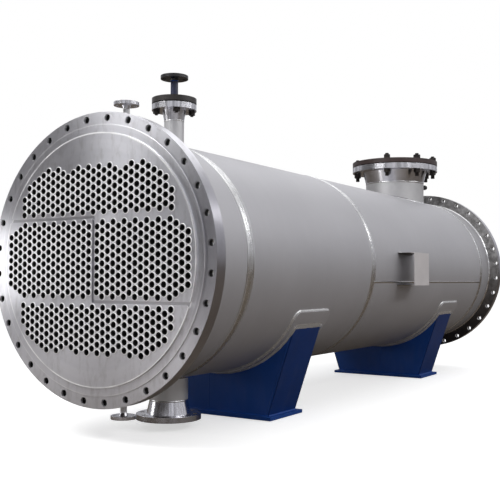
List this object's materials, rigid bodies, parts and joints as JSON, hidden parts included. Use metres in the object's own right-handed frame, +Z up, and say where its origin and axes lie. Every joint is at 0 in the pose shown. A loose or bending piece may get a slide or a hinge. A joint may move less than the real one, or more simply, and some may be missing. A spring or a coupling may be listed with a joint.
{
  "type": "shell and tube heat exchanger",
  "caption": "Horizontal shell and tube heat exchanger, heads removed: drilled tubesheets, long shell, flanged nozzles and two saddles.",
  "frame": {"origin": "on the floor under the middle of the shell", "axes": "+X along the shell axis from the front tubesheet to the rear one, +Z up, so the front tubesheet faces -X"},
  "size_m": [3.735, 1.183, 1.557],
  "materials": {
    "machined_steel": "faced and turned stainless steel, bright",
    "shell_plate": "bead-blasted stainless plate, matt grey",
    "weld_metal": "brushed weld bead",
    "tube_steel": "drawn stainless tube, satin",
    "pipe_steel": "pickled stainless pipe, satin",
    "saddle_paint": "navy blue gloss enamel",
    "black_paint": "black primer, satin",
    "cover_paint": "dark brown primer, satin",
    "stub_paint": "dark navy paint, satin",
    "gasket_fibre": "compressed fibre sheet, matt"
  },
  "bodies": {
    "root": {"front_tubesheet": "machined_steel", "rear_tubesheet": "machined_steel", "upper_pass_tubes": "tube_steel", "right_pass_tubes": "tube_steel", "left_pass_tubes": "tube_steel", "lower_pass_tubes": "tube_steel", "front_shell_ring": "shell_plate", "first_shell_course": "shell_plate", "second_shell_course": "shell_plate", "rear_shell_ring": "shell_plate", "first_girth_weld": "weld_metal", "second_girth_weld": "weld_metal", "third_girth_weld": "weld_metal", "vent_neck": "pipe_steel", "vent_flange": "machined_steel", "drain_neck": "pipe_steel", "drain_flange": "machined_steel", "service_neck": "pipe_steel", "service_flange": "machined_steel", "outlet_neck": "pipe_steel", "outlet_flange": "machined_steel", "inlet_neck": "pipe_steel", "inlet_flange": "machined_steel", "service_gasket": "gasket_fibre", "inlet_gasket": "gasket_fibre", "service_cover": "black_paint", "inlet_cover": "cover_paint", "stub_pipe": "stub_paint", "stub_flange": "black_paint", "inlet_boss": "machined_steel", "front_saddle_pad": "shell_plate", "front_saddle_front_web": "saddle_paint", "front_saddle_back_web": "saddle_paint", "front_saddle_left_end": "saddle_paint", "front_saddle_right_end": "saddle_paint", "front_saddle_base": "saddle_paint", "rear_saddle_pad": "shell_plate", "rear_saddle_front_web": "saddle_paint", "rear_saddle_back_web": "saddle_paint", "rear_saddle_left_end": "saddle_paint", "rear_saddle_right_end": "saddle_paint", "rear_saddle_base": "saddle_paint", "nameplate_bracket": "shell_plate"}
  },
  "joints": []
}
